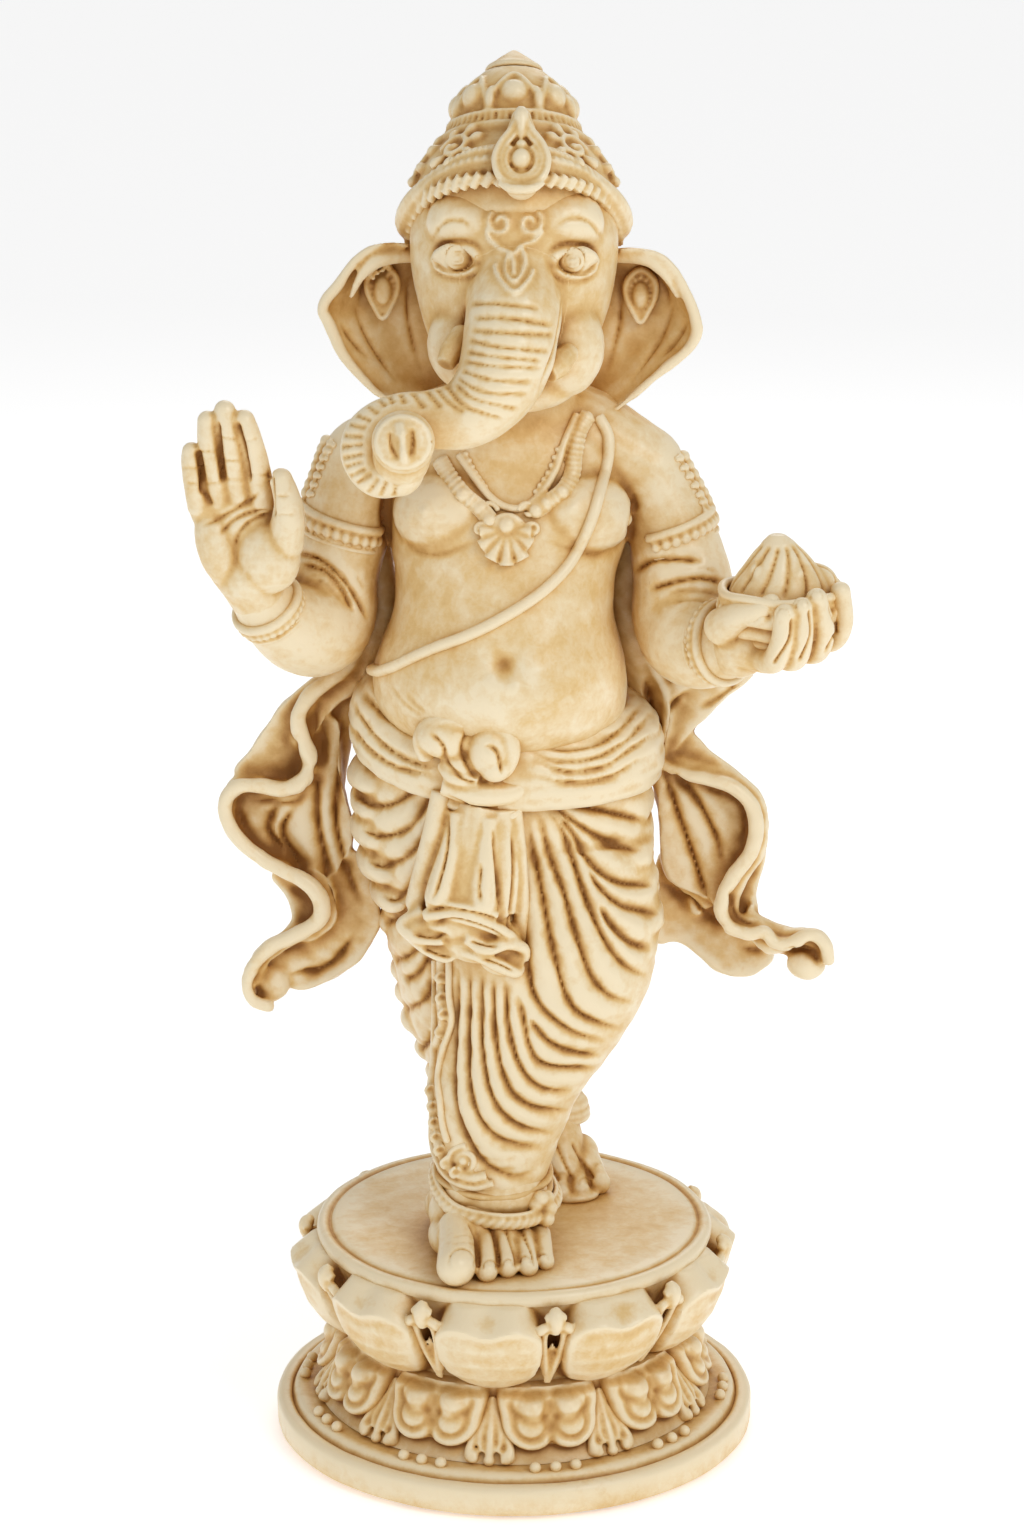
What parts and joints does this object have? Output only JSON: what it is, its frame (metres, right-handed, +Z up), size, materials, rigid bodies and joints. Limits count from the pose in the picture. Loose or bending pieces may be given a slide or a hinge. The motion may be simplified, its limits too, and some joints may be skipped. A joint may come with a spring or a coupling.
{
  "type": "statue",
  "caption": "Standing elephant-headed devotional figure in antiqued cream cast resin, one palm raised and one hand holding a dish of sweets, on a round double lotus pedestal.",
  "frame": {"origin": "centre of the underside of the felt pad, on the surface that the statue stands on", "axes": "+Z up along the height, the figure faces -Y, +X is the figure's left side"},
  "size_m": [0.2699, 0.2108, 0.6],
  "materials": {
    "antiqued_resin": "satin cream cast resin with an ochre-brown wash wiped into the recesses",
    "tusk_brown": "the same resin with a heavier brown wash",
    "fixing_steel": "zinc-plated steel",
    "base_felt": "dark green felt"
  },
  "bodies": {
    "root": {"felt_pad": "base_felt", "base_plinth": "antiqued_resin", "lower_lotus_drum": "antiqued_resin", "lower_petals": "antiqued_resin", "lower_leaves": "antiqued_resin", "base_beads": "antiqued_resin", "upper_lotus_bowl": "antiqued_resin", "upper_petals": "antiqued_resin", "upper_buds": "antiqued_resin", "top_disc": "antiqued_resin", "tie_rod": "fixing_steel", "tie_washer": "fixing_steel", "tie_nut": "fixing_steel", "top_nut": "fixing_steel", "leg_pins": "fixing_steel", "left_foot": "antiqued_resin", "right_foot": "antiqued_resin", "left_anklet": "antiqued_resin", "right_anklet": "antiqued_resin", "left_leg_drape": "antiqued_resin", "right_leg_drape": "antiqued_resin", "hip_wrap": "antiqued_resin", "waist_sash": "antiqued_resin", "sash_knot": "antiqued_resin", "sash_tail": "antiqued_resin", "pleat_border": "antiqued_resin", "waist_dowel": "fixing_steel", "torso": "antiqued_resin", "sacred_thread": "antiqued_resin", "necklace": "antiqued_resin", "necklace_pendant": "antiqued_resin", "neck_dowel": "fixing_steel", "head": "antiqued_resin", "trunk": "antiqued_resin", "right_tusk": "tusk_brown", "left_tusk": "tusk_brown", "right_ear": "antiqued_resin", "left_ear": "antiqued_resin", "right_earring": "antiqued_resin", "left_earring": "antiqued_resin", "crown_band": "antiqued_resin", "crown_body": "antiqued_resin", "crown_medallion": "antiqued_resin", "crown_finial": "antiqued_resin", "shoulder_dowels": "fixing_steel", "wrist_dowels": "fixing_steel", "right_arm": "antiqued_resin", "right_hand": "antiqued_resin", "right_armlet": "antiqued_resin", "right_bracelet": "antiqued_resin", "left_arm": "antiqued_resin", "left_hand": "antiqued_resin", "left_armlet": "antiqued_resin", "left_bracelet": "antiqued_resin", "modak_dish": "antiqued_resin", "modak": "antiqued_resin", "right_scarf": "antiqued_resin", "left_scarf": "antiqued_resin", "scarf_back": "antiqued_resin"}
  },
  "joints": []
}
